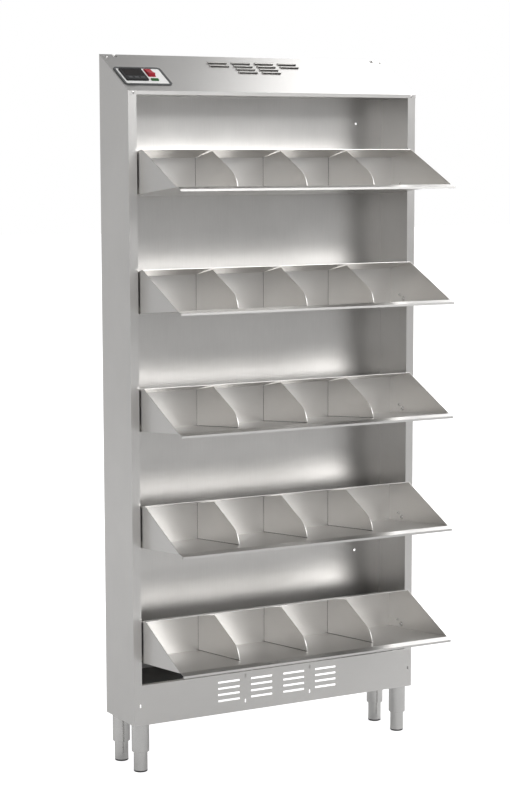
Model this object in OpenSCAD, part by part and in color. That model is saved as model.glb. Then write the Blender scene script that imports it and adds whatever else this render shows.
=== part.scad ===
// Drying cabinet: a shallow stainless-steel frame on four adjustable legs, with
// five bins that tip out on pivot screws, and a sloping header that holds the controls,
// the cross-flow blower and the heater.
//
// Millimetres. X runs across the front, Y from the front to the back, Z up from the floor.
// X = 0 is the middle of the cabinet, and Y = 0 lies halfway between the noses of the
// open bins and the back. The bins are drawn open, as they stand in use.

/* [Cabinet] */
// Width over the two side panels
body_w = 1000; // [800:10:1200]
// Depth from the front face of the stiles to the back
body_d = 200; // [166:2:260]
// Height of the body's front, from its underside to the fold of the header
body_h = 1910; // [1590:10:2300]
// Rise of the header from its front fold to the back
header_rise = 114; // [110:2:150]
// Height of the legs
leg_h = 150; // [140:5:180]
// Thickness of the stainless sheet
sheet = 1.2; // [1:0.1:1.5]

/* [Front frame] */
// Width of the stile on each side of the opening
stile_w = 27; // [24:1:40]
// Depth of the stile's return flange, which carries the pivots
stile_return = 46; // [44:1:60]
// Height of the lip at the header's front
lip_h = 10; // [8:1:16]
// Height of the base panel
base_h = 125; // [110:5:160]
// Width of the flange along each side panel's rear edge
rear_flange = 25; // [15:1:30]
// Gap between the body's underside and the back panel's lower edge
back_gap = 46; // [20:2:60]

/* [Bins] */
// Number of compartments in a bin
bays = 4; // [2:1:6]
// Rise of an open bin's floor towards the front, degrees
tilt = 5.25; // [3:0.25:8]
// Gap between a bin's end panel and the stile's return flange
side_gap = 3.4; // [3:0.1:5]
// Floor length behind the pivot
tail = 78; // [60:1:85]
// Gap between two closed bins
bin_gap = 9.4; // [8:0.2:14]
// Distance of the floor's outer face below the pivot, and of the pivot from the stile's face
pivot_in = 13; // [12:0.5:16]
// Height of the back wall
bin_back_h = 115; // [90:1:120]
// Depth of the top flange
flange_d = 116; // [80:1:120]
// Slope of the top flange against the bin's floor, degrees
flange_slope = 7; // [3:0.5:10]
// Depth of the nose in front of the floor
nose_run = 20; // [16:1:24]
// Fall of the nose over its depth
nose_fall = 7.5; // [5:0.5:9]
// Height of the hem at the nose's edge
hem_h = 4; // [3:0.5:5]
// Length of the hem's return under the nose
hem_return = 7; // [5:0.5:10]
// Floor length in front of the pivot that a divider covers
divider_front = 196; // [120:1:200]
// Radius of the divider's rounded front corner
divider_r = 60; // [30:1:62]
// Distance of the divider's sloping edge behind that of the end panel
divider_inset = 5; // [3:0.5:10]

/* [Pivots] */
// Diameter of the pivot screw's shank
pivot_d = 8; // [6:0.5:10]
// Diameter of the stop screw's shank
stop_d = 6; // [5:0.5:6]
// Distance of the stop screw behind the pivot
stop_back = 19; // [17:0.5:20]
// Distance of the stop screw above the pivot
stop_up = 13; // [11:0.5:14]
// Radial clearance of a shaft that turns or slides in its bore
running = 0.05; // [0.02:0.01:0.1]
// Clearance round a piece that only passes through or moves in an opening
clear = 0.35; // [0.3:0.05:0.5]

/* [Legs] */
// Distance of a leg's axis from the side
leg_x = 35; // [30:1:45]
// Distance of a leg's axis from the front and the back
leg_y = 31.5; // [30:0.5:40]
// Diameter of the sleeve
sleeve_d = 54; // [50:1:58]
// Length of the sleeve below the body
sleeve_h = 87; // [70:1:95]
// Diameter of the adjustable foot's tube
foot_d = 42.4; // [35:0.1:45]
// Height of the foot's plastic end
pad_h = 5; // [4:0.5:10]

/* [Slots] */
// Length of a slot in the base panel
slot_l = 76; // [60:1:90]
// Height of a slot in the base panel
slot_h = 6; // [5:0.5:10]
// Distance between neighbouring columns of slots
slot_step_x = 116; // [100:1:130]
// Distance between neighbouring rows of slots
slot_step_z = 19.5; // [16:0.5:21]
// Height of the lowest row of slots above the body's underside
slot_low = 41.5; // [35:0.5:50]
// Length of a louvre in the header
louvre_l = 66; // [50:1:75]
// Distance between neighbouring columns of louvres
louvre_step = 82; // [75:1:95]
// Distance between neighbouring rows of louvres
louvre_row = 19.6; // [17:0.2:21]

/* [Controls] */
// Width of the control plate
plate_w = 157; // [145:1:180]
// Depth of the control plate up the header
plate_d = 109; // [105:1:120]
// Distance of the control plate from the left side
plate_x = 6; // [6:1:40]
// Distance of the control plate from the header's front fold
plate_s = 34; // [30:1:50]
// Side of the controller's square front
case_side = 72; // [60:1:72]
// Thickness of the controller's front
case_t = 5; // [4:0.5:7]
// Travel of a key
key_travel = 0.8; // [0.5:0.1:1]
// Angle that the rocker switch turns through, degrees
rocker_swing = 20; // [14:1:24]

/* [Blower and heater] */
// Diameter of the cross-flow wheel
wheel_d = 45; // [36:1:48]
// Length of the cross-flow wheel
wheel_l = 270; // [180:5:300]
// Diameter of the heater's tube
heater_d = 8; // [6:0.5:9]

/* [Hidden] */
$fn = 64;

// Rows of bins, counted from the top
rows = 5;
BIN_PARTS = ["pan", "ends", "dividers", "pins"];
LEGS = ["front_left", "front_right", "rear_left", "rear_right"];

// A sheet's section is drawn along one of its faces; the other face lies to the left.
function left(v) = [-v.y, v.x] / norm(v);
function skin(path, t) = let (last = len(path) - 1)
    [for (i = [0:last])
        let (a = left(path[min(i + 1, last)] - path[min(i, last - 1)]),
             b = left(path[max(i, 1)] - path[max(i - 1, 0)]))
        path[i] + t * (a + b) / (1 + a * b)];
function reversed(list) = [for (i = [len(list) - 1:-1:0]) list[i]];
function section(path, t) = concat(path, reversed(skin(path, t)));
function arc(centre, r, from, to, steps) = [for (i = [0:steps])
    let (turn = from + (to - from) * i / steps) centre + r * [cos(turn), sin(turn)]];

// Frame
half_w = body_w / 2;
slope = atan(header_rise / body_d);
deck_z = body_h - lip_h;
cover_back = body_d - 3 * sheet;
cover_fold = 12;
cover_over = 1;
slope_flange = 22;

// Legs
rail_w = 64;
rail_h = 25;
stud_d = 12;
sleeve_cap = 5;
sleeve_wall = 1.5;
collar_h = 25;
foot_wall = 1.5;
foot_in_sleeve = 55;

// Bins: Y runs back from the pivot along the floor, Z stands square to the floor
pitch = (deck_z - base_h - 8) / rows;
first_pivot = base_h + 82;
bin_x = stile_w + side_gap;
bin_w = body_w - 2 * bin_x;
floor_fold = [tail, -pivot_in];
front_fold = [bin_gap + tail - pitch, -pivot_in];
nose_dir = [-nose_run, -nose_fall] / norm([nose_run, nose_fall]);
nose_edge = front_fold + [-nose_run, -nose_fall];
hem_low = nose_edge + [0, -hem_h];
hem_end = hem_low - hem_return * nose_dir;
top_fold = floor_fold + bin_back_h * [-sin(tilt), cos(tilt)];
flange_edge = top_fold + flange_d * [-cos(flange_slope), sin(flange_slope)];
pan_path = [hem_end, hem_low, nose_edge, front_fold, floor_fold, top_fold, flange_edge];
pan_inner = skin(pan_path, sheet);
tip_run = 13;
tip_rise = 8.7;
end_tip = front_fold + [tip_run, tip_rise];
reach = max([for (p = pan_inner) -p.y * sin(tilt) - p.x * cos(tilt)]) - pivot_in;
front_y = (reach - body_d) / 2;

// Pivots
boss_h = 1.5;
bush_d = 11;
bush_flange_d = 18;
bush_flange_t = 1.3;
screw_head_t = 3.5;
stop_slot_r = stop_d / 2 + clear;
stop_relief = 0.15;
stop_r = norm([stop_back, stop_up]);
stop_open = atan2(stop_up, stop_back) - tilt;
stop_closed = atan2(stop_up, stop_back) - 90;

// Header
plate_t = 1;
cover_screw_x = 16;
cover_screw_s = cover_back / cos(slope) - 14;
screw_d = 4;

// Controls, in the header's plane
case_x = plate_x + 15;
case_s = plate_s + 25;
case_body = case_side - 6;
case_depth = 40;
window_w = 60;
window_d = 38;
window_t = 1;
key_w = 14;
key_d = 9;
key_deep = 3;
switch_x = plate_x + 109;
switch_s = plate_s + 74;
switch_w = 24;
switch_l = 46;
switch_wall = 1;
switch_deep = 20;
rocker_r = 20.2;
rocker_pin_d = 3;
lamp_s = plate_s + 32;
lamp_l = 12;

// Blower, from the body's front and from the deck's top face
blower_x = (body_w - wheel_l) / 2;
blower_y = body_d - 65;
wheel_z = 38;
scroll_r = wheel_d / 2 + 4;
duct_front = -6;
duct_back = scroll_r;
blower_gap = 3;
shaft_d = 6;
end_plate_t = 2;
deck_top = deck_z + sheet;

// The places of the pieces
module in_body() translate([-half_w, front_y, leg_h]) children();
module on_header() in_body() translate([0, 0, body_h]) rotate([slope, 0, 0]) children();
module on_plate(x, s) on_header() translate([x, s, sheet + plate_t]) children();
module across(l) rotate([90, 0, 90]) linear_extrude(l) children();
module both_sides() {
    children();
    translate([body_w, 0, 0]) mirror([1, 0, 0]) children();
}
module at_pivot(row) translate([0, pivot_in, first_pivot + (rows - row) * pitch]) children();
module in_bin(row) in_body() at_pivot(row) rotate([-tilt, 0, 0]) children();
module at_blower() in_body() translate([blower_x, blower_y, deck_top]) children();
module at_legs() for (x = [leg_x, body_w - leg_x], y = [leg_y, body_d - leg_y])
    translate([x, y, 0]) children();
// A plate with true round corners, lying on Z = 0
module round_plate(w, d, t, r) linear_extrude(t) {
    translate([r, 0]) square([w - 2 * r, d]);
    translate([0, r]) square([w, d - 2 * r]);
    for (x = [r, w - r], y = [r, d - r]) translate([x, y]) circle(r);
}
// An upright hole through a sheet that faces the front
module front_hole(x, z, w, h) translate([x - w / 2, -1, z - h / 2]) cube([w, sheet + 2, h]);

// Side panels: wall, stile and its return, rear flange and the flange under the cover
module stop_slot() {
    rotate([0, 0, stop_closed]) rotate_extrude(angle = stop_open - stop_closed)
        translate([stop_r - stop_slot_r, 0]) square([2 * stop_slot_r, 3 * sheet]);
    for (turn = [stop_closed, stop_open]) rotate([0, 0, turn])
        translate([stop_r, 0, 0]) cylinder(r = stop_slot_r + stop_relief, h = 3 * sheet);
}
module side_panel() {
    difference() {
        union() {
            across(sheet) polygon([[sheet, 0], [body_d, 0], [body_d, body_h + header_rise],
                                   [0, body_h], [0, base_h], [sheet, base_h]]);
            translate([0, 0, base_h]) cube([stile_w, sheet, body_h - base_h]);
            translate([stile_w - sheet, 0, base_h])
                cube([sheet, stile_return, deck_z - base_h]);
            translate([0, body_d - sheet, 0])
                cube([rear_flange, sheet, body_h + (body_d - sheet) * tan(slope)]);
            translate([0, 0, body_h]) rotate([slope, 0, 0])
                translate([0, sheet, -sheet]) cube([slope_flange, cover_screw_s + 8, sheet]);
        }
        for (row = [1:rows]) at_pivot(row) translate([stile_w - 2 * sheet, 0, 0])
            rotate([90, 0, 90]) {
                cylinder(d = bush_d + 2 * running, h = 3 * sheet);
                stop_slot();
            }
        cover_screw_holes();
    }
}
module side_panel_left() color("silver") in_body() side_panel();
module side_panel_right() color("silver")
    in_body() translate([body_w, 0, 0]) mirror([1, 0, 0]) side_panel();

// The holes and screws that hold the cover, at the left side of the body
module lip_axis() translate([cover_screw_x, 0, body_h - lip_h / 2]) rotate([90, 0, 0]) children();
module slope_axis() translate([0, 0, body_h]) rotate([slope, 0, 0])
    translate([cover_screw_x, cover_screw_s, 0]) children();
module cover_screw_holes() {
    lip_axis() translate([0, 0, -5]) cylinder(d = screw_d + 2 * running, h = 10);
    slope_axis() translate([0, 0, -5]) cylinder(d = screw_d + 2 * running, h = 10);
}
module cover_screw(under_head) {
    translate([0, 0, under_head]) cylinder(d = 2 * screw_d, h = 2);
    translate([0, 0, under_head - 6]) cylinder(d = screw_d, h = 7);
}
module cover_screws() color("gainsboro") in_body() both_sides() {
    lip_axis() cover_screw(sheet);
    slope_axis() cover_screw(sheet);
}

// Back panel, with four holes for fixing it to a wall and one for the cord's grommet
wall_hole_d = 8;
wall_hole_in = 98;
wall_hole_low = 427;
wall_hole_high = body_h - 88;
grommet_d = 16;
grommet_x = body_w - 120;
grommet_z = body_h + 40;
module back_panel() color("lightgray") in_body() difference() {
    translate([sheet, body_d - 2 * sheet, back_gap]) cube([body_w - 2 * sheet, sheet,
        body_h + (body_d - 2 * sheet) * tan(slope) - back_gap]);
    for (x = [wall_hole_in, body_w - wall_hole_in], z = [wall_hole_low, wall_hole_high])
        translate([x, body_d, z]) rotate([90, 0, 0]) cylinder(d = wall_hole_d, h = 4 * sheet);
    translate([grommet_x, body_d, grommet_z]) rotate([90, 0, 0])
        cylinder(d = grommet_d + 2 * running, h = 4 * sheet);
}
module cable_grommet() color("dimgray")
    in_body() translate([grommet_x, body_d, grommet_z]) rotate([90, 0, 0])
        rotate_extrude() polygon([[4, 0], [grommet_d / 2 + 3, 0], [grommet_d / 2 + 3, sheet],
            [grommet_d / 2, sheet], [grommet_d / 2, 2 * sheet], [grommet_d / 2 + 2, 2 * sheet],
            [grommet_d / 2 + 1, 2 * sheet + 3], [4, 2 * sheet + 3]]);

// Base panel: slots, six small fixing holes, and a fold along its top and bottom
base_fold = 15;
fixing_w = 5;
fixing_h = 11;
module base_panel() color("silver") in_body() difference() {
    union() {
        cube([body_w, sheet, base_h]);
        translate([sheet, 0, base_h - sheet]) cube([body_w - 2 * sheet, base_fold, sheet]);
        translate([rail_w + 2 * sheet, 0, 0])
            cube([body_w - 2 * rail_w - 4 * sheet, base_fold, sheet]);
    }
    for (col = [-1.5:1.5], line = [0:3])
        front_hole(half_w + col * slot_step_x, slot_low + line * slot_step_z, slot_l, slot_h);
    for (col = [-1, 1], z = [31, 111])
        front_hole(half_w + col * slot_step_x, z, fixing_w, fixing_h);
    for (x = [22, body_w - 14]) front_hole(x, 61, fixing_w, fixing_h);
}

// Chamber floor, with three openings that let the air down into the base
vent_l = 150;
vent_d = 50;
vent_step = 190;
module chamber_floor() color("lightgray") in_body() difference() {
    translate([sheet, sheet, base_h - 2 * sheet])
        cube([body_w - 2 * sheet, body_d - 3 * sheet, sheet]);
    for (i = [-1:1])
        translate([half_w + i * vent_step - vent_l / 2, body_d / 2 - vent_d / 2,
                   base_h - 3 * sheet]) cube([vent_l, vent_d, 3 * sheet]);
}

// Deck between the chamber and the header, with the blower's outlet
module header_deck() color("lightgray") in_body() difference() {
    union() {
        translate([sheet, sheet, deck_z]) cube([body_w - 2 * sheet, body_d - 3 * sheet, sheet]);
        translate([stile_w, 0, deck_z]) cube([body_w - 2 * stile_w, sheet, lip_h - 1]);
        translate([stile_w, 0, deck_z]) cube([body_w - 2 * stile_w, 2 * sheet, sheet]);
    }
    translate([blower_x, blower_y + duct_front + end_plate_t, deck_z - sheet])
        cube([wheel_l, duct_back - duct_front - 2 * end_plate_t, 3 * sheet]);
}

// Header cover: a lip, the sloping face and a fold down inside the back panel
cover_path = [[0, -lip_h], [0, 0], [cover_back, cover_back * tan(slope)],
              [cover_back, cover_back * tan(slope) - cover_fold]];
louvre_rise = 4.5;
louvre_mouth = 3;
louvre_top = cover_back / cos(slope) - 42;
notch_x = 41;
notch_w = 12;
// A louvre's hood: a quarter round that rises from the cover and runs on over the slot
module hood_side(rise) {
    intersection() {
        circle(rise);
        square(rise);
    }
    translate([-louvre_mouth, 0]) square([louvre_mouth + 0.01, rise]);
}
module louvre() {
    across(louvre_l) {
        difference() {
            hood_side(louvre_rise);
            hood_side(louvre_rise - sheet);
            translate([-2 * louvre_rise, 0]) square([2 * louvre_rise, louvre_rise - sheet]);
        }
        translate([louvre_rise - sheet, -sheet / 2]) square([sheet, sheet]);
    }
    for (x = [0, louvre_l - sheet]) translate([x, 0, 0]) across(sheet) {
        hood_side(louvre_rise);
        translate([-louvre_mouth, -sheet / 2]) square([louvre_mouth + louvre_rise, sheet]);
    }
}
module at_louvres() for (col = [0:3], line = [0:(col == 0 || col == 3) ? 1 : 3])
    translate([half_w + (col - 1.5) * louvre_step - louvre_l / 2,
               louvre_top - line * louvre_row, sheet]) children();
module header_cover() color("silver") difference() {
    union() {
        in_body() translate([-cover_over, 0, body_h]) across(body_w + 2 * cover_over)
            polygon(section(cover_path, sheet));
        on_header() at_louvres() louvre();
    }
    on_header() at_louvres() translate([sheet, -louvre_mouth, -2 * sheet])
        cube([louvre_l - 2 * sheet, louvre_mouth + louvre_rise - 2 * sheet, 2 * sheet + 0.01]);
    // The fold stops short of the ends, and a notch frees each end of it
    in_body() both_sides() translate([0, 0, body_h]) rotate([slope, 0, 0]) {
        translate([notch_x, cover_screw_s + 1, -cover_fold]) cube([notch_w, 40, 2 * cover_fold]);
        translate([-2 * cover_over, cover_screw_s + screw_d, -2 * cover_fold])
            cube([notch_x + 3, 40, 2 * cover_fold]);
    }
    in_body() both_sides() cover_screw_holes();
    on_header() control_cutouts();
}

// Control plate, its dark frame, and the openings under them
frame_w = 7;
frame_t = 3;
module control_cutouts() {
    for (cut = [[case_x + 3, case_s + 3, case_body, case_body],
                [switch_x - switch_w / 2 + 1, switch_s - switch_l / 2 + 1, switch_w - 2, switch_l - 2],
                [switch_x - switch_w / 2 + 1, lamp_s - lamp_l / 2 + 1, switch_w - 2, lamp_l - 2]])
        translate([cut[0] - clear, cut[1] - clear, -3])
            cube([cut[2] + 2 * clear, cut[3] + 2 * clear, 8]);
}
module control_plate() color("white") difference() {
    on_header() translate([plate_x + frame_w, plate_s + frame_w, sheet])
        round_plate(plate_w - 2 * frame_w, plate_d - 2 * frame_w, plate_t, 6);
    on_header() control_cutouts();
}
module control_frame() color("dimgray") on_header() translate([plate_x, plate_s, sheet])
    difference() {
        round_plate(plate_w, plate_d, frame_t, 13);
        translate([frame_w, frame_w, -1])
            round_plate(plate_w - 2 * frame_w, plate_d - 2 * frame_w, frame_t + 2, 6);
    }

// Controller: a square front on a case, a window and three keys
key_x = [for (i = [-1:1]) case_side / 2 + i * (key_w + 6)];
key_s = 13;
window_s = case_side - 8 - window_d;
module controller_case() color("dimgray") on_plate(case_x, case_s) difference() {
    union() {
        round_plate(case_side, case_side, case_t, 2);
        translate([3, 3, -case_depth]) cube([case_body, case_body, case_depth]);
    }
    translate([(case_side - window_w) / 2 - clear, window_s - clear, case_t - window_t])
        cube([window_w + 2 * clear, window_d + 2 * clear, 2 * window_t]);
    for (x = key_x) translate([x - key_w / 2 - clear, key_s - key_d / 2 - clear,
                               case_t - key_deep])
        cube([key_w + 2 * clear, key_d + 2 * clear, 2 * key_deep]);
}
module controller_window() color("black") on_plate(case_x, case_s)
    translate([(case_side - window_w) / 2, window_s, case_t - window_t])
        cube([window_w, window_d, window_t]);
module key(i) on_plate(case_x, case_s)
    translate([key_x[i] - key_w / 2, key_s - key_d / 2, case_t - key_deep + key_travel + 0.1])
        cube([key_w, key_d, key_deep]);
module key_set() color("gray") key(0);
module key_down() color("gray") key(1);
module key_up() color("gray") key(2);

// Rocker switch: a housing with a cavity, and a rocker on two short pins
module switch_housing() color("darkred") on_plate(switch_x, switch_s) difference() {
    union() {
        translate([-switch_w / 2, -switch_l / 2, 0]) round_plate(switch_w, switch_l, 2, 2);
        translate([1 - switch_w / 2, 1 - switch_l / 2, -switch_deep])
            cube([switch_w - 2, switch_l - 2, switch_deep]);
    }
    translate([-rocker_w() / 2 - clear, -rocker_r - clear, switch_wall - switch_deep])
        cube([rocker_w() + 2 * clear, 2 * (rocker_r + clear), switch_deep + 4]);
    rotate([0, 90, 0]) cylinder(d = rocker_pin_d + 2 * running, h = switch_w - 3, center = true);
}
function rocker_w() = switch_w - 2 - 2 * switch_wall - 2 * clear;
module switch_rocker() color("crimson") on_plate(switch_x, switch_s)
    rotate([-rocker_swing / 2, 0, 0]) {
        translate([-rocker_w() / 2, 0, 0]) across(rocker_w()) intersection() {
            circle(rocker_r);
            polygon([[-rocker_r, -3], [rocker_r, -3], [rocker_r, 7.5], [0, 5.5], [-rocker_r, 7.5]]);
        }
        rotate([0, 90, 0]) cylinder(d = rocker_pin_d, h = switch_w - 3.6, center = true);
    }
module pilot_lamp() color("green") on_plate(switch_x, lamp_s) {
    translate([-switch_w / 2, -lamp_l / 2, 0]) round_plate(switch_w, lamp_l, 3, 2);
    translate([1 - switch_w / 2, 1 - lamp_l / 2, -15]) cube([switch_w - 2, lamp_l - 2, 16]);
}

// Legs: a rail along each side, a stud through it, a fixed sleeve and a sliding foot
module leg_rails() color("gray") in_body() both_sides() difference() {
    translate([sheet, sheet, 0]) cube([rail_w, body_d - 2 * sheet, rail_h]);
    translate([2 * sheet, 0, sheet]) cube([rail_w - 2 * sheet, body_d, rail_h]);
    for (y = [leg_y, body_d - leg_y]) translate([leg_x, y, -1])
        cylinder(d = stud_d + 2 * running, h = 10);
}
module leg_studs() color("gainsboro") in_body() at_legs() {
    translate([-18, -18, sheet]) cube([36, 36, 4]);
    translate([0, 0, -sleeve_cap - 3]) cylinder(d = stud_d, h = sleeve_cap + 6);
}
module leg_sleeves() color("silver") in_body() at_legs() rotate_extrude() {
    bore = foot_d / 2 + running;
    wide = sleeve_d / 2 - sleeve_wall;
    polygon([[bore, -sleeve_h], [sleeve_d / 2 - 1, -sleeve_h], [sleeve_d / 2, 1 - sleeve_h],
             [sleeve_d / 2, 0], [stud_d / 2 + running, 0], [stud_d / 2 + running, -sleeve_cap],
             [wide, -sleeve_cap], [wide, collar_h - sleeve_h], [bore, collar_h - sleeve_h]]);
}
module at_leg(i) translate([-half_w, front_y, 0])
    translate([i % 2 == 0 ? leg_x : body_w - leg_x, i < 2 ? leg_y : body_d - leg_y, 0]) children();
module foot_tube(i) color("silver") at_leg(i) translate([0, 0, pad_h]) difference() {
    cylinder(d = foot_d, h = leg_h - sleeve_h - pad_h + foot_in_sleeve);
    translate([0, 0, -1]) cylinder(d = foot_d - 2 * foot_wall, h = leg_h);
}
module foot_pad(i) color("dimgray") at_leg(i) rotate_extrude() {
    plug = foot_d / 2 - foot_wall - running;
    polygon([[0, 0], [foot_d / 2 - 1.5, 0], [foot_d / 2, 1.5], [foot_d / 2, pad_h],
             [plug, pad_h], [plug, pad_h + 12], [0, pad_h + 12]]);
}

// Flanged bushes in the stiles' return flanges
module pivot_bushes() color("white") in_body() both_sides() for (row = [1:rows])
    at_pivot(row) translate([stile_w, 0, 0]) rotate([90, 0, 90]) rotate_extrude() {
        bore = pivot_d / 2 + running;
        polygon([[bore, -sheet - 2], [bush_d / 2, -sheet - 2], [bush_d / 2, 0],
                 [bush_flange_d / 2, 0], [bush_flange_d / 2, bush_flange_t],
                 [bore, bush_flange_t]]);
    }

// Bins: a folded pan, two end panels with threaded bosses, dividers and four screws
module bin_pan(row) color("silver") in_bin(row) translate([bin_x + sheet, 0, 0])
    across(bin_w - 2 * sheet) polygon(section(pan_path, sheet));
module bin_end() difference() {
    union() {
        across(sheet) polygon([front_fold, floor_fold, top_fold, flange_edge, end_tip]);
        translate([-boss_h, 0, 0]) rotate([0, 90, 0]) cylinder(d = 13, h = boss_h + sheet / 2);
        translate([-boss_h, stop_back, stop_up]) rotate([0, 90, 0])
            cylinder(d = 10, h = boss_h + sheet / 2);
    }
    translate([-5, 0, 0]) rotate([0, 90, 0]) cylinder(d = pivot_d + 2 * running, h = 10);
    translate([-5, stop_back, stop_up]) rotate([0, 90, 0])
        cylinder(d = stop_d + 2 * running, h = 10);
}
module bin_ends(row) color("silver") in_bin(row) both_sides() translate([bin_x, 0, 0]) bin_end();

// A divider fills the section under the flange and has a sloping, rounded front edge
edge_dir = (end_tip - flange_edge) / norm(end_tip - flange_edge);
edge_in = left(edge_dir);
edge_start = pan_inner[6] + divider_inset * edge_in;
corner = [divider_r - divider_front, edge_start.y
          + (divider_r - edge_in.x * (divider_r - divider_front - edge_start.x)) / edge_in.y];
corner_turn = atan2(-edge_in.y, -edge_in.x);
module divider_outline() intersection() {
    polygon(concat([pan_inner[4], pan_inner[5], edge_start],
                   arc(corner, divider_r, corner_turn, 180, 16),
                   [[-divider_front, pan_inner[4].y - divider_r]]));
    polygon([for (i = [3:6]) pan_inner[i]]);
}
module bin_dividers(row) color("silver") in_bin(row) for (i = [1:bays - 1])
    translate([bin_x + bin_w * i / bays - sheet / 2, 0, 0]) across(sheet) divider_outline();

// Pivot and stop screws, put in from inside the bin
module bin_screw(d, head_d) rotate([0, 90, 0]) {
    translate([0, 0, sheet]) cylinder(d = head_d, h = screw_head_t);
    translate([0, 0, -side_gap - sheet - 4]) cylinder(d = d, h = side_gap + 2 * sheet + 5);
}
module bin_pins(row) color("gainsboro") in_bin(row) both_sides() translate([bin_x, 0, 0]) {
    bin_screw(pivot_d, 14);
    translate([0, stop_back, stop_up]) bin_screw(stop_d, 9);
}

// Blower: housing with end plates, cross-flow wheel on its shaft, and motor
cover_gap = 2;
module under_cover() translate([-blower_y, body_h - deck_top - cover_gap])
    polygon([[0, -body_d], [0, 0], [body_d, header_rise], [body_d, -body_d]]);
module blower_housing() color("lightgray") at_blower() difference() {
    union() {
        across(wheel_l) {
            difference() {
                translate([0, wheel_z]) circle(scroll_r);
                translate([0, wheel_z]) circle(scroll_r - sheet);
                translate([-40, 0]) square([40, wheel_z + 8]);
                translate([-1, 0]) square([40, wheel_z]);
            }
            translate([duct_back - sheet, 0]) square([sheet, wheel_z]);
            translate([duct_front, 0]) square([sheet, wheel_z - wheel_d / 2 - 2]);
        }
        for (x = [-end_plate_t, wheel_l]) translate([x, 0, 0]) across(end_plate_t)
            intersection() {
                translate([-30, 0]) square([30 + duct_back, wheel_z + scroll_r - 6]);
                under_cover();
            }
        for (x = [-end_plate_t, wheel_l]) translate([x, 0, 0]) across(end_plate_t)
            translate([0, wheel_z]) circle(scroll_r);
    }
    translate([0, 0, wheel_z]) rotate([0, 90, 0])
        cylinder(d = shaft_d + 2 * running, h = 3 * wheel_l, center = true);
    for (y = heater_ys) translate([-10, y, heater_z]) rotate([0, 90, 0])
        cylinder(d = heater_d + 2 * running, h = 20);
}
module blower_impeller() color("darkgray") at_blower() translate([0, 0, wheel_z])
    rotate([0, 90, 0]) {
        for (z = [blower_gap, wheel_l / 2 - 1, wheel_l - blower_gap - 2])
            translate([0, 0, z]) cylinder(d = wheel_d, h = 2);
        for (i = [0:17]) rotate([0, 0, i * 20])
            translate([wheel_d / 2 - 6, -0.6, blower_gap])
                cube([5.5, 1.2, wheel_l - 2 * blower_gap]);
        translate([0, 0, -end_plate_t - 4]) cylinder(d = shaft_d, h = wheel_l + 36);
    }
motor_l = 26;
module blower_motor() color("dimgray") at_blower() translate([wheel_l + end_plate_t, 0, 0])
    difference() {
        union() {
            translate([0, 0, wheel_z]) rotate([0, 90, 0]) cylinder(d = 40, h = 10);
            translate([8, -24, wheel_z - 30]) cube([14, 48, 54]);
            translate([0, 0, wheel_z]) rotate([0, 90, 0]) cylinder(d = 34, h = motor_l);
        }
        translate([-1, 0, wheel_z]) rotate([0, 90, 0])
            cylinder(d = shaft_d + 2 * running, h = motor_l + 2);
    }

// Heater: one tube bent into a U in the outlet duct, its cold ends through the left plate
heater_z = 7;
heater_ys = [2, 18];
heater_bend = (heater_ys[1] - heater_ys[0]) / 2;
heater_turn = wheel_l - 25;
module heater_element() color("gray") at_blower() {
    for (y = heater_ys) translate([-end_plate_t - 14, y, heater_z]) rotate([0, 90, 0])
        cylinder(d = heater_d, h = heater_turn + end_plate_t + 14);
    translate([heater_turn, heater_ys[0] + heater_bend, heater_z]) rotate([0, 0, -90])
        rotate_extrude(angle = 180) translate([heater_bend, 0]) circle(d = heater_d);
}
module limit_thermostat() color("white") at_blower() translate([-end_plate_t, 8, 50])
    rotate([0, -90, 0]) {
        cylinder(d = 16, h = 6);
        cylinder(d = 12, h = 10);
    }

// Terminal block on the deck, and the loom from it to the controls, blower and heater
block_x = 220;
block_y = 90;
module terminal_block() color("ivory") in_body() translate([block_x, block_y, deck_top])
    difference() {
        cube([72, 22, 18]);
        for (i = [0:5]) translate([6 + 12 * i, 11, 8]) cylinder(d = 5, h = 20);
    }
loom_d = 6;
loom_z = deck_top + loom_d / 2 + 0.2;
module loom_run(from, to) {
    way = to - from;
    translate(from) rotate([0, acos(way.z / norm(way)), atan2(way.y, way.x)])
        cylinder(d = loom_d, h = norm(way));
}
module wiring_loom() color("black") in_body() {
    block = [block_x + 72, block_y + 11, loom_z];
    turn = [block.x + 30, block.y, loom_z];
    lead_in = [block_x, block_y + 11, loom_z];
    loom_run(block, turn);
    translate(turn) sphere(d = loom_d);
    loom_run(turn, [turn.x, blower_y + 8, loom_z]);
    loom_run(lead_in, [lead_in.x - 40, lead_in.y, loom_z]);
}

side_panel_left();
side_panel_right();
back_panel();
base_panel();
chamber_floor();
header_deck();
header_cover();
cover_screws();
leg_rails();
leg_studs();
leg_sleeves();
pivot_bushes();
control_plate();
control_frame();
controller_case();
controller_window();
key_set();
key_down();
key_up();
switch_housing();
switch_rocker();
pilot_lamp();
blower_housing();
blower_impeller();
blower_motor();
heater_element();
limit_thermostat();
terminal_block();
cable_grommet();
wiring_loom();
for (i = [0:3]) {
    foot_tube(i);
    foot_pad(i);
}
for (row = [1:rows]) {
    bin_pan(row);
    bin_ends(row);
    bin_dividers(row);
    bin_pins(row);
}
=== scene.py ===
# %% [markdown]
# # A satin steel drying cabinet
# This lesson dresses a drying cabinet: folded stainless sheet, five bins that tip out on
# screws, a sloping header with a small control plate, and four adjustable legs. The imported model
# brings every part in its true place, in metres, so the lesson can spend its time on what the
# eye reads: the light, the steel, and the small turned and moulded pieces.

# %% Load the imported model
import math
import bmesh
import bpy
from mathutils import Matrix, Vector


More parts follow.
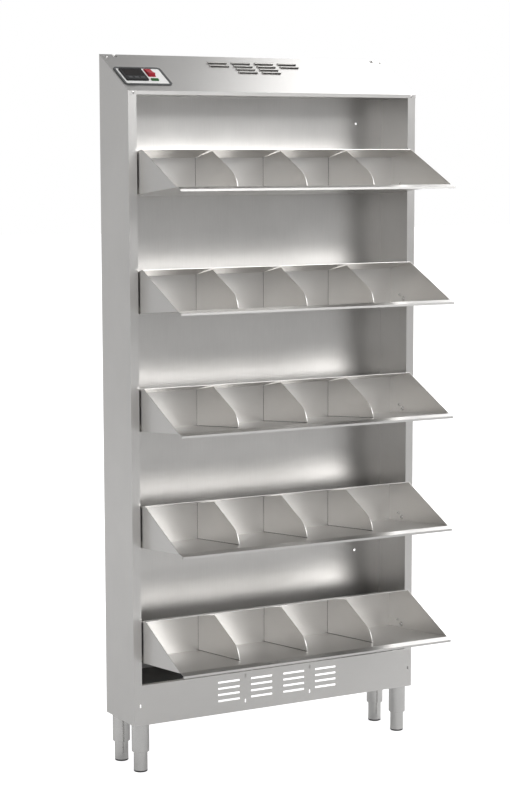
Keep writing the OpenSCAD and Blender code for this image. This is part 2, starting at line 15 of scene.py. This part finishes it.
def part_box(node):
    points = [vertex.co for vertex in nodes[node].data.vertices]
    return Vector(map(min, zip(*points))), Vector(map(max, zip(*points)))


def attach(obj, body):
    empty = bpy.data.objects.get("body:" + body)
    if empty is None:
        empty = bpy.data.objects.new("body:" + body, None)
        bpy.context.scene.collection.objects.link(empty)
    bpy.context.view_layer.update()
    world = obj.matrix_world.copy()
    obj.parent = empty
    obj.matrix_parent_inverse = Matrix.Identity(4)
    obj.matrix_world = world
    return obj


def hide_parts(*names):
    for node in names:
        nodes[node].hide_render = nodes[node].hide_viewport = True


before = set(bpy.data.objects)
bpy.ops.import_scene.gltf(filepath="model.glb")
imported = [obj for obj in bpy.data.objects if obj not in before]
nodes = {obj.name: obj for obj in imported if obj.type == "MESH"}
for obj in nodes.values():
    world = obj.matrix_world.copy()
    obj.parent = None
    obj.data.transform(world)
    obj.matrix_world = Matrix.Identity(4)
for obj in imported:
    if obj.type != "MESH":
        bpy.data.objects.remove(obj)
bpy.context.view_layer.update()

MM = 0.001

# %% [markdown]
# The camera comes first, because every choice of light depends on where it stands. The cabinet
# is seen from the left and a little above, through a long lens: its uprights lean only slightly.
# A camera can be turned with three angles, but building its three axes by hand keeps the small
# roll of the view exact. The lens is given for a frame of 510 by 800, fitted on the long side.

# %% Camera
def camera_axes(yaw, pitch, roll):
    ahead = Vector((math.sin(yaw) * math.cos(pitch), math.cos(yaw) * math.cos(pitch),
                    -math.sin(pitch)))
    level = Vector((math.cos(yaw), -math.sin(yaw), 0))
    down = ahead.cross(level)
    right = math.cos(roll) * level + math.sin(roll) * down
    return right, ahead.cross(right), ahead


yaw, pitch, roll = (math.radians(angle) for angle in (29.175, 7.089, 0.092))
stand = Vector((-3.1061, -5.48495, 1.8719))
right, down, ahead = camera_axes(yaw, pitch, roll)
lens = bpy.data.cameras.new("long_lens")
lens.sensor_width = 36
lens.lens = 92.75
lens.shift_x = -0.0201
lens.shift_y = 0.0145
lens.clip_end = 200
camera = bpy.data.objects.new("camera", lens)
axes = Matrix((right, -down, -ahead)).transposed().to_4x4()
camera.matrix_world = Matrix.Translation(stand) @ axes
scene = bpy.context.scene
scene.collection.objects.link(camera)
scene.camera = camera
print("camera at", [round(v, 3) for v in camera.location], "lens", lens.lens)

# %% [markdown]
# Small helpers keep the node trees readable. One adds a shader node and fills its sockets, with
# a number, a colour or another node's output. One adds a sum, a product or a comparison. One lays
# greys or colours along a ramp. One makes a grey.

# %% Helpers for shader nodes
def add(tree, kind, **sockets):
    node = tree.nodes.new("ShaderNode" + kind)
    for name, value in sockets.items():
        key = name.replace("_", " ")
        target = node.inputs[key] if key in node.inputs else node.inputs[int(name[1:])]
        if isinstance(value, bpy.types.NodeSocket):
            tree.links.new(value, target)
        else:
            target.default_value = value
    return node


def math_node(tree, operation, *values, clamp=False):
    node = tree.nodes.new("ShaderNodeMath")
    node.operation = operation
    node.use_clamp = clamp
    for socket, value in zip(node.inputs, values):
        if isinstance(value, bpy.types.NodeSocket):
            tree.links.new(value, socket)
        else:
            socket.default_value = value
    return node.outputs[0]


def ramp(tree, source, stops):
    node = tree.nodes.new("ShaderNodeValToRGB")
    tree.links.new(source, node.inputs[0])
    line = node.color_ramp.elements
    while len(line) < len(stops):
        line.new(0.5)
    for stop, (place, level) in zip(line, stops):
        stop.position = place
        stop.color = (*level, 1) if isinstance(level, tuple) else (level, level, level, 1)
    return node.outputs[0]


def grey(level):
    return (level, level, level, 1)


print("helpers ready")

# %% [markdown]
# Two more helpers serve both the room and the floor. The first is 1 where a ray comes straight
# from the camera or through something clear. The second is a half in the middle and rises or
# falls along X and Y, so that one side of the room can differ from the other.

# %% Helpers for the studio
def seen_directly(tree, ways):
    return math_node(tree, "MAXIMUM", ways.outputs["Is Camera Ray"],
                     ways.outputs["Is Transmission Ray"])


def from_side_to_side(tree, axis, along_x, along_y, clamp=False):
    by_x = math_node(tree, "MULTIPLY_ADD", axis.outputs["X"], along_x, 0.5)
    by_y = math_node(tree, "MULTIPLY", axis.outputs["Y"], along_y)
    return math_node(tree, "ADD", by_x, by_y, clamp=clamp)


print("studio helpers ready")

# %% [markdown]
# Polished and brushed metal has no colour of its own to show: it shows the room. The room here is
# a pale studio. Seen directly it is plain white. The steel sees a quarter of that white, and under
# it a room with two sides: in front it is dim low down and bright from a little above the horizon,
# behind it is a soft grey that fades towards the ceiling. This gives folded sheet its calm tone
# and still lets one face differ from the next. One even white would make all faces alike. Plain
# surfaces get an even light from all sides.

# %% The room
white_for_steel = 0.25
light_on_steel = 1.5
light_on_plain = 0.72
in_front = [(0.0, 0.08), (0.45, 0.07), (0.50, 0.09), (0.56, 0.24), (0.62, 0.76), (0.78, 0.89),
            (1.0, 0.31)]
behind = [(0.0, 0.32), (0.45, 0.36), (0.50, 0.28), (0.60, 0.20), (0.75, 0.06), (1.0, 0.02)]


def room_tone(tree):
    axis = add(tree, "SeparateXYZ", Vector=add(tree, "TexCoord").outputs["Generated"])
    height = math_node(tree, "MULTIPLY_ADD", axis.outputs["Z"], 0.5, 0.5)
    to_front = from_side_to_side(tree, axis, along_x=1.2, along_y=-2.07)
    return add(tree, "MixRGB", Fac=to_front, Color1=ramp(tree, height, behind),
               Color2=ramp(tree, height, in_front)).outputs[0]


def pale_studio():
    room = bpy.data.worlds.new("pale_studio")
    room.use_nodes = True
    tree = room.node_tree
    tree.nodes.clear()
    ways = add(tree, "LightPath")
    for_steel = math_node(tree, "MULTIPLY", ways.outputs["Is Glossy Ray"], white_for_steel)
    direct = math_node(tree, "MAXIMUM", seen_directly(tree, ways), for_steel)
    in_steel = add(tree, "Background", Color=room_tone(tree), Strength=light_on_steel)
    on_plain = add(tree, "Background", Color=grey(1.0), Strength=light_on_plain)
    white = add(tree, "Background", Color=grey(1.0), Strength=1.0)
    lit = add(tree, "MixShader", Fac=ways.outputs["Is Glossy Ray"],
              _1=on_plain.outputs[0], _2=in_steel.outputs[0])
    whole = add(tree, "MixShader", Fac=direct, _1=lit.outputs[0], _2=white.outputs[0])
    add(tree, "OutputWorld", Surface=whole.outputs[0])
    print("room:", len(tree.nodes), "nodes")
    return room


scene.view_settings.view_transform = "Standard"
scene.world = pale_studio()

# %% [markdown]
# Three soft boxes shape the metal. The first stands high at the right front: the bins' top
# flanges mirror it, and the back panel mirrors the flanges, so each bay glows above its bin. The
# second is tall and stands behind at the right, for the noses of the bins and the right end of
# the header. The third is weak and wide, at the left front, and opens up the inside of the bins:
# their dividers look that way. None is seen directly. A lamp's power is worked out from the
# brightness of its face, so its size can change without changing how bright it looks in the steel.

# %% Lamps
def soft_box(name, at, towards, wide, high, level):
    lamp = bpy.data.lights.new(name, "AREA")
    lamp.shape = "RECTANGLE"
    lamp.size = wide
    lamp.size_y = high
    lamp.energy = level * math.pi * wide * high
    box = bpy.data.objects.new(name, lamp)
    box.location = at
    box.rotation_euler = (Vector(at) - Vector(towards)).to_track_quat("Z", "Y").to_euler()
    box.visible_camera = False
    scene.collection.objects.link(box)
    print(name, "radiance", level, "power", round(lamp.energy, 1))


soft_box("front_box", (3.3, -7.5, 7.3), (0, 0, 1.1), wide=7.0, high=7.0, level=4.3)
soft_box("rear_box", (3.01, 1.65, 3.7), (0, 0, 1.6), wide=1.8, high=4.0, level=1.93)
soft_box("left_box", (-4.5, -7.8, 4.0), (0, 0, 1.1), wide=5.0, high=4.0, level=0.55)

# %% [markdown]
# The floor is a wide pale sheet of paper. It takes the cabinet's shadow, and for the eye it is
# lifted until it meets the white behind it, so no horizon shows. The steel sees only a faint
# gleam of that. The paper is painted darker towards the right front, where the front box lights it
# most and which the cabinet's front mirrors: painted shade. It lies half a millimetre low, so that
# it never cuts into the feet.

# %% Floor
floor_reach = 40
floor_z = -0.0005
lift_for_eye = 0.80
gleam_in_steel = 0.06
# painted shade: the paper's colour falls from 0.70 to 0.43 towards the right front
paper_painted_shade = [(0.0, 0.70), (1.0, 0.43)]


def floor_paper_with_painted_shade():
    paint = bpy.data.materials.new("floor_paper_with_painted_shade")
    paint.use_nodes = True
    tree = paint.node_tree
    tree.nodes.clear()
    ways = add(tree, "LightPath")
    lift = math_node(tree, "MULTIPLY", seen_directly(tree, ways), lift_for_eye)
    gleam = math_node(tree, "MULTIPLY", ways.outputs["Is Glossy Ray"], gleam_in_steel)
    axis = add(tree, "SeparateXYZ", Vector=add(tree, "TexCoord").outputs["Object"])
    # painted shade: this mask runs towards the right front, where the paper is painted darker
    across = from_side_to_side(tree, axis, along_x=0.06, along_y=-0.104, clamp=True)
    paper = add(tree, "BsdfDiffuse", Color=ramp(tree, across, paper_painted_shade))
    glow = add(tree, "Emission", Color=grey(1.0), Strength=math_node(tree, "ADD", lift, gleam))
    both = add(tree, "AddShader", _0=paper.outputs[0], _1=glow.outputs[0])
    add(tree, "OutputMaterial", Surface=both.outputs[0])
    return paint


corners = [(x * floor_reach, y * floor_reach, 0) for x, y in ((-1, -1), (1, -1), (1, 1), (-1, 1))]
floor_mesh = bpy.data.meshes.new("studio_floor")
floor_mesh.from_pydata(corners, [], [(0, 1, 2, 3)])
floor_mesh.materials.append(floor_paper_with_painted_shade())
floor = bpy.data.objects.new("studio_floor", floor_mesh)
floor.location.z = floor_z
scene.collection.objects.link(floor)
print("floor laid at", floor.location.z)

# %% [markdown]
# The sheets of a bay mirror each other several times over: a flange in the back panel, the back
# panel in a side. Light that was cut off after the usual four mirrorings would leave dark patches.

# %% Mirrorings
scene.cycles.glossy_bounces = 8
print("mirrorings followed:", scene.cycles.glossy_bounces)

# %% [markdown]
# Satin stainless sheet is rolled and then ground with a belt, so it carries fine lines in one
# direction. They spread a reflection across the lines more than along them. The grain is a noise
# stretched along the sheet: it moves the roughness and lifts a very low bump. A second,
# large and faint noise stands for handling: a little darker here, a little duller there. A third,
# sparse one marks light rubs. Most of what the noises add to the roughness is taken off again, so
# the sheet as a whole keeps the roughness that it is given. The noise is read in the model's own
# coordinates, so it stays on a part that moves.

# %% Helpers for noise and bump
def fresh_material(name):
    material = bpy.data.materials.new(name)
    material.use_nodes = True
    tree = material.node_tree
    tree.nodes.clear()
    shader = add(tree, "BsdfPrincipled")
    add(tree, "OutputMaterial", Surface=shader.outputs[0])
    return material, tree, shader


def stretched_noise(tree, place, scale, detail):
    mapped = add(tree, "Mapping", Vector=place, Scale=scale)
    return add(tree, "TexNoise", Vector=mapped.outputs[0], Scale=1.0, Detail=detail,
               Roughness=0.55).outputs["Fac"]


def raise_skin(tree, shader, height, strength, distance):
    bump = add(tree, "Bump", Strength=strength, Distance=distance, Height=height)
    tree.links.new(bump.outputs[0], shader.inputs["Normal"])


print("noise and bump helpers ready")

# %% Satin steel
ALONG = {"x": (14, 900, 900), "y": (900, 14, 900), "z": (900, 900, 14)}
lines_in_tone = 0.35
cloud_in_tone = 0.65
uneven = 0.06
taken_off = 0.055
duller_in_rubs = 0.015


def satin_steel(name, grain, tone=(0.688, 0.677, 0.662), rough=0.31, wander=0.03):
    material, tree, shader = fresh_material(name)
    place = add(tree, "TexCoord").outputs["Object"]
    lines = stretched_noise(tree, place, ALONG[grain], 3)
    cloud = stretched_noise(tree, place, (5, 5, 5), 4)
    rubs = stretched_noise(tree, place, tuple(0.12 * s for s in ALONG[grain]), 5)
    dark, light = (tuple((1 + turn * wander) * c for c in tone) for turn in (-1, 1))
    shade = math_node(tree, "MULTIPLY_ADD", lines, lines_in_tone,
                      math_node(tree, "MULTIPLY", cloud, cloud_in_tone))
    tree.links.new(ramp(tree, shade, [(0.30, dark), (0.70, light)]), shader.inputs["Base Color"])
    worn = ramp(tree, rubs, [(0.60, 0.0), (0.74, 1.0)])
    duller = math_node(tree, "MULTIPLY", worn, duller_in_rubs)
    level = math_node(tree, "MULTIPLY_ADD", lines, uneven, rough - taken_off)
    level = math_node(tree, "ADD", level, math_node(tree, "MULTIPLY", cloud, uneven))
    level = math_node(tree, "ADD", level, duller, clamp=True)
    tree.links.new(level, shader.inputs["Roughness"])
    raise_skin(tree, shader, lines, 0.06, 0.00006)
    shader.inputs["Metallic"].default_value = 1.0
    print(name, "grain along", grain, "nodes", len(tree.nodes))
    return material


steel_upright = satin_steel("satin_upright", "z", wander=0.045)
steel_across = satin_steel("satin_across", "x")
steel_deep = satin_steel("satin_deep", "y")
steel_back = satin_steel("satin_back", "z", rough=0.34, wander=0.07)
steel_inner = satin_steel("satin_inner", "x", tone=(0.56, 0.553, 0.543), rough=0.42)

# %% [markdown]
# Each sheet is given the grain that its blank would have: upright on the side panels and the back,
# across on what runs from side to side, and front to back on the ends and dividers of the bins.
# The deck and the leg rails lie inside and are left duller, as mill-finished sheet is.

# %% Steel on the sheets
ROWS = range(1, 6)


def dress(names, material):
    for name in names:
        mesh = nodes[name].data
        if not mesh.materials:
            mesh.materials.append(material)
        for slot in nodes[name].material_slots:
            slot.material = material
    print(material.name, "on", len(names), "nodes")


def of_bins(part):
    return [f"bin_{row}_{part}" for row in ROWS]


dress(["side_panel_left", "side_panel_right"], steel_upright)
dress(["back_panel"], steel_back)
dress(["base_panel", "header_cover"] + of_bins("pan"), steel_across)
dress(["header_deck", "leg_rails"], steel_inner)
dress(of_bins("ends"), steel_deep)

# %% [markdown]
# The next finish follows the bins, and so do the screws later on, so a few sizes of a bin are
# needed here. Each place could be typed in as a number. Worked out from the front of the base
# panel, which the model gives, and from the distance between two bins, they stay true to it.

# %% Sizes of the bins, in millimetres
sheet = 1.2
bin_pitch = 353.4
lowest_pivot = 357.0
pivot_in = 13
bin_tail = 78
tilt = math.radians(5.25)
front_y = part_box("base_panel")[0].y / MM
pivot_y = front_y + pivot_in
pivot_z = {row: lowest_pivot + (len(ROWS) - row) * bin_pitch for row in ROWS}
print("front at", round(front_y, 3), "pivots at", [round(z, 1) for z in pivot_z.values()])

# %% [markdown]
# The dividers are tacked into the bin, and a fine gap along their foot and their back edge lies in
# shade. It could be cut as a real gap; here its shade is painted as a near-black line in the
# material, which keeps the sheet whole. The height above the pivot is taken modulo the distance
# between two bins, so one material serves all five.

# %% Dividers with painted joint shade
joint_shade_width = 1.3
bin_floor = sheet - pivot_in
bin_back = bin_tail * math.cos(tilt) - pivot_in * math.sin(tilt) - sheet


def painted_joint_shade(name, width):
    """Satin steel with painted shade: near-black within a width, in mm, of the bin's floor and back
    wall.
    """
    material = satin_steel(name, "y")
    tree = material.node_tree
    shader = next(n for n in tree.nodes if n.type == "BSDF_PRINCIPLED")
    axis = add(tree, "SeparateXYZ", Vector=add(tree, "TexCoord").outputs["Object"])
    half = bin_pitch / 2
    turns = math_node(tree, "ADD", axis.outputs["Z"], (half - lowest_pivot) * MM)
    in_row = math_node(tree, "MODULO", turns, bin_pitch * MM)
    up = math_node(tree, "SUBTRACT", in_row, half * MM)
    deep = math_node(tree, "SUBTRACT", axis.outputs["Y"], pivot_y * MM)
    above = math_node(tree, "MULTIPLY_ADD", deep, math.sin(tilt),
                      math_node(tree, "MULTIPLY", up, math.cos(tilt)))
    # painted shade: masks for the band along the divider's foot and along its back edge
    foot = math_node(tree, "LESS_THAN", above, (bin_floor + width) * MM)
    rear = math_node(tree, "GREATER_THAN", deep, (bin_back - width) * MM)
    steel = shader.inputs["Base Color"].links[0].from_socket
    # painted shade: the steel colour turns near-black (0.03) inside these bands
    with_painted_shade = add(tree, "MixRGB", Fac=math_node(tree, "MAXIMUM", foot, rear), Color1=steel,
                Color2=grey(0.03))
    tree.links.new(with_painted_shade.outputs[0], shader.inputs["Base Color"])
    print(name, "joint lines", width, "mm wide")
    return material


dress(of_bins("dividers"), painted_joint_shade("satin_divider_painted_shade", joint_shade_width))

# %% [markdown]
# The legs are tube, polished on a lathe, so their lines run round them. The noise is squeezed
# along the height and hardly changes round the tube, and a second, rounder one lets the tone
# wander. The studs and all the screws get a brighter, smoother turn of the same steel.

# %% Turned steel
LEGS = ("front_left", "front_right", "rear_left", "rear_right")


def turned_steel(name, rough):
    material, tree, shader = fresh_material(name)
    place = add(tree, "TexCoord").outputs["Object"]
    lines = stretched_noise(tree, place, (25, 25, 2600), 3)
    cloud = stretched_noise(tree, place, (18, 18, 18), 3)
    colour = ramp(tree, cloud, [(0.3, (0.655, 0.648, 0.638)), (0.7, (0.71, 0.703, 0.693))])
    tree.links.new(colour, shader.inputs["Base Color"])
    level = math_node(tree, "MULTIPLY_ADD", lines, 0.12, rough - 0.05)
    tree.links.new(level, shader.inputs["Roughness"])
    raise_skin(tree, shader, lines, 0.15, 0.00005)
    shader.inputs["Metallic"].default_value = 1.0
    return material


steel_turned = turned_steel("satin_turned", 0.24)
steel_bright = turned_steel("bright_turned", 0.18)
dress(["leg_sleeves"] + [f"foot_{leg}_tube" for leg in LEGS], steel_turned)
dress(["leg_studs"], steel_bright)

# %% [markdown]
# The small moulded parts differ in colour and gloss but not in kind, so one maker serves them
# all: a colour that wanders a little, a roughness that wanders with it, and the faint
# orange-peel of a moulded skin. What is the same all over, such as the strength of the gloss, is
# set straight on the shader.

# %% Moulded and coated surfaces
def moulded(name, colour, rough, peel=0.08, grain=420, metal=0.0, wander=0.12, shine=0.5):
    material, tree, shader = fresh_material(name)
    place = add(tree, "TexCoord").outputs["Object"]
    skin = stretched_noise(tree, place, (grain, grain, grain), 2)
    cloud = stretched_noise(tree, place, (30, 30, 30), 3)
    dark = tuple(c * (1 - wander) for c in colour)
    light = tuple(min(1, c * (1 + wander)) for c in colour)
    tree.links.new(ramp(tree, cloud, [(0.3, dark), (0.7, light)]), shader.inputs["Base Color"])
    level = math_node(tree, "MULTIPLY_ADD", cloud, 0.14, max(0.02, rough - 0.07))
    tree.links.new(level, shader.inputs["Roughness"])
    raise_skin(tree, shader, skin, peel, 0.0002)
    shader.inputs["Metallic"].default_value = metal
    shader.inputs["Specular IOR Level"].default_value = shine
    print(name, "roughness about", rough)
    return material


print("maker of moulded finishes ready")

# %% [markdown]
# The control plate is a white film in a dark frame. On it sit a black controller with a glossy
# window and grey keys, a red rocker switch and a green lamp. Each gets its own colour and gloss:
# the window is the smoothest, the case and the keys are fine-grained and dull.

# %% Finishes of the controls
dress(["control_plate"], moulded("white_film", (0.66, 0.66, 0.65), 0.35, wander=0.02))
dress(["control_frame"], moulded("dark_film", (0.07, 0.073, 0.074), 0.50, shine=0.25))
dress(["controller_case"], moulded("case_black", (0.016, 0.016, 0.017), 0.55, peel=0.2, shine=0.2))
dress(["controller_window"],
      moulded("window_black", (0.010, 0.008, 0.008), 0.22, peel=0.0, shine=0.2))
dress(["key_set", "key_down", "key_up"],
      moulded("key_grey", (0.06, 0.06, 0.063), 0.55, peel=0.2, shine=0.25))
dress(["switch_rocker", "switch_housing"],
      moulded("rocker_red", (0.30, 0.014, 0.025), 0.38, shine=0.3))
dress(["pilot_lamp"], moulded("lens_green", (0.009, 0.085, 0.012), 0.36, shine=0.15))

# %% [markdown]
# The works inside and the small plain parts are rarely seen, but a look through the louvres or
# from below meets them. Nylon, zinc-coated sheet, cast alloy, paint, the heater's scorched sheath
# and rubber each get a plain version of the same recipe. The chamber floor is painted near-black:
# painted shade for the dark under the lowest bin.

# %% Finishes of the works, the floor and the feet
# painted shade: a near-black chamber floor stands for the shade under the lowest bin
dress(["chamber_floor"], moulded("dark_coat", (0.018, 0.018, 0.018), 0.50, peel=0.2, shine=0.25))
dress(["pivot_bushes", "limit_thermostat", "terminal_block"],
      moulded("white_nylon", (0.80, 0.79, 0.75), 0.45, wander=0.04))
dress(["blower_housing"], moulded("zinc_sheet", (0.55, 0.56, 0.57), 0.42, metal=1.0, grain=160))
dress(["blower_impeller"], moulded("bare_alloy", (0.70, 0.70, 0.71), 0.38, metal=1.0))
dress(["blower_motor"], moulded("motor_paint", (0.05, 0.05, 0.053), 0.5, peel=0.3))
dress(["heater_element"], moulded("heater_skin", (0.30, 0.27, 0.24), 0.42, metal=1.0))
dress(["cable_grommet", "wiring_loom"],
      moulded("black_rubber", (0.020, 0.020, 0.021), 0.65, peel=0.3))
dress([f"foot_{leg}_pad" for leg in LEGS],
      moulded("foot_black", (0.022, 0.022, 0.024), 0.48, peel=0.3))

# %% [markdown]
# The screws are small, but they are what a hand looks for. Each is built as a stack of rings with
# the same number of points: the rim, a low dome, the mouth of the drive and its floor. Where a ring
# follows a hexagon or a cross, the quads between the rings make the socket. A boolean cut would
# make it too, but leaves untidy faces.

# %% Rings of a screw
TURNS = 48


def ring(radius_at):
    """A ring of points, given the radius for each angle."""
    angles = [2 * math.pi * i / TURNS for i in range(TURNS)]
    return [(radius_at(a) * math.cos(a), radius_at(a) * math.sin(a)) for a in angles]


def round_ring(radius):
    return ring(lambda a: radius)


def hex_ring(across):
    def radius_at(a):
        near = (a + math.pi / 6) % (math.pi / 3) - math.pi / 6
        return across / 2 / math.cos(near)
    return ring(radius_at)


def cross_ring(reach, arm):
    def radius_at(a):
        near = (a + math.pi / 4) % (math.pi / 2) - math.pi / 4
        return min(reach / math.cos(near), arm / 2 / max(abs(math.sin(near)), 1e-6))
    return ring(radius_at)


print("rings of", TURNS, "points")

# %% [markdown]
# A screw is then a list of rings with their heights, from the tip of the shank to the floor of the
# drive. The builder places it by a point and a direction: the point lies on the sheet, under the
# head.

# %% Screw builder
def stack(bm, rings, place):
    made = []
    for outline, z in rings:
        made.append([bm.verts.new(place @ Vector((x, y, z))) for x, y in outline])
    for low, high in zip(made, made[1:]):
        for i in range(TURNS):
            j = (i + 1) % TURNS
            bm.faces.new((low[i], low[j], high[j], high[i]))
    bm.faces.new(made[-1])
    bm.faces.new(list(reversed(made[0])))


def screw(bm, at, towards, head, thick, shank, below, drive):
    """A screw whose head sits at a point and whose shank runs back below it, in mm."""
    turn = Vector(towards).to_track_quat("Z", "Y").to_matrix().to_4x4()
    place = Matrix.Translation(Vector(at) * MM) @ turn @ Matrix.Scale(MM, 4)
    r = head / 2
    body = [(round_ring(shank / 2 - 0.4), -below), (round_ring(shank / 2), -below + 0.4),
            (round_ring(shank / 2), 0)]
    dome = [(round_ring(r - 0.25), 0), (round_ring(r), 0.25), (round_ring(r), thick * 0.45),
            (round_ring(r * 0.93), thick * 0.74), (round_ring(r * 0.76), thick * 0.93),
            (round_ring(r * 0.58), thick)]
    if drive == "hex":
        mouth, bottom = hex_ring(head * 0.36), hex_ring(head * 0.34)
    else:
        mouth, bottom = cross_ring(head * 0.26, head * 0.13), cross_ring(head * 0.2, head * 0.09)
    stack(bm, body + dome + [(mouth, thick - 0.02), (bottom, thick * 0.35)], place)


def piece_from(bm, name, material):
    bmesh.ops.recalc_face_normals(bm, faces=bm.faces)
    mesh = bpy.data.meshes.new(name)
    bm.to_mesh(mesh)
    bm.free()
    mesh.materials.append(material)
    mesh.shade_smooth()
    mesh.set_sharp_from_angle(angle=math.radians(40))
    piece = bpy.data.objects.new(name, mesh)
    scene.collection.objects.link(piece)
    return piece


print("screw builder ready")

# %% [markdown]
# Every bin hangs on two pivot screws and rests on two stop screws. They sit where the
# model has them: the heads inside the bin's end panels, the shanks through the stile's return.

# %% Pivot and stop screws
body_w = 1000
stile_w = 27
side_gap = 3.4
inner_face = body_w / 2 - stile_w - side_gap - sheet
stop_back = 19
stop_up = 13
stop_y = stop_back * math.cos(tilt) + stop_up * math.sin(tilt)
stop_z = stop_up * math.cos(tilt) - stop_back * math.sin(tilt)
for row in ROWS:
    bm = bmesh.new()
    for side in (-1, 1):
        pivot_at = (side * inner_face, pivot_y, pivot_z[row])
        stop_at = (side * inner_face, pivot_y + stop_y, pivot_z[row] + stop_z)
        screw(bm, pivot_at, (-side, 0, 0), head=14, thick=3.5, shank=8, below=9.8, drive="hex")
        screw(bm, stop_at, (-side, 0, 0), head=9, thick=3.5, shank=6, below=9.8, drive="hex")
    pins = piece_from(bm, f"bin_{row}_screws", steel_bright)
    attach(pins, f"bin_{row}")
    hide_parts(f"bin_{row}_pins")
print("screws in bins:", 4 * len(ROWS))

# %% [markdown]
# The header cover is held by two screws in its lip and two near its rear corners, with cross
# drives. The rear pair stands square to the slope.

# %% Cover screws
body_d = 200
header_rise = 114
header_fold_z = 2060
slope = math.atan(header_rise / body_d)
screw_in = 16
screw_below_fold = 5
screw_from_ridge = 14
screw_up_slope = (body_d - 3 * sheet) / math.cos(slope) - screw_from_ridge
out_of_slope = Vector((0, -math.sin(slope), math.cos(slope)))
up_slope = Vector((0, math.cos(slope), math.sin(slope)))
bm = bmesh.new()
for side in (-1, 1):
    fold = Vector((side * (body_w / 2 - screw_in), front_y, header_fold_z))
    in_lip = fold - Vector((0, sheet, screw_below_fold))
    on_slope = fold + screw_up_slope * up_slope + sheet * out_of_slope
    screw(bm, in_lip, (0, -1, 0), head=8, thick=2, shank=4, below=4.8, drive="cross")
    screw(bm, on_slope, out_of_slope, head=8, thick=2, shank=4, below=4.8, drive="cross")
cover = piece_from(bm, "cover_screw_set", steel_bright)
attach(cover, "cabinet")
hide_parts("cover_screws")
print("cover screws: 4")

# %% [markdown]
# Folded sheet and moulded plastic never have knife edges. A weld modifier joins the corners of
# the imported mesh, and a narrow bevel breaks each sharp edge. The bevel takes away only a
# fraction of a millimetre and leaves every size as it is. Rounding the model itself would do the
# same with far more faces to carry through every check. The pans of the bins are left as they
# come: a bevel along their noses would mirror the lamps in a bright line.

# %% Broken edges
BROKEN = (
    (["controller_case", "switch_housing", "switch_rocker", "pilot_lamp"], 0.5, 3),
    (["control_frame"], 0.8, 3),
    (["key_set", "key_down", "key_up"], 0.6, 3),
    (["side_panel_left", "side_panel_right", "header_cover", "base_panel"], 0.45, 2),
    (of_bins("ends"), 0.2, 2),
)


def break_edges(names, width, segments):
    for name in names:
        weld = nodes[name].modifiers.new("join_corners", "WELD")
        weld.merge_threshold = 0.01 * MM
        bevel = nodes[name].modifiers.new("broken_edge", "BEVEL")
        bevel.width = width * MM
        bevel.segments = segments
        bevel.limit_method = "ANGLE"
        bevel.angle_limit = math.radians(35)
        bevel.harden_normals = False
    print(f"{width} mm bevel on", len(names), "nodes")


for names, width, segments in BROKEN:
    break_edges(names, width, segments)
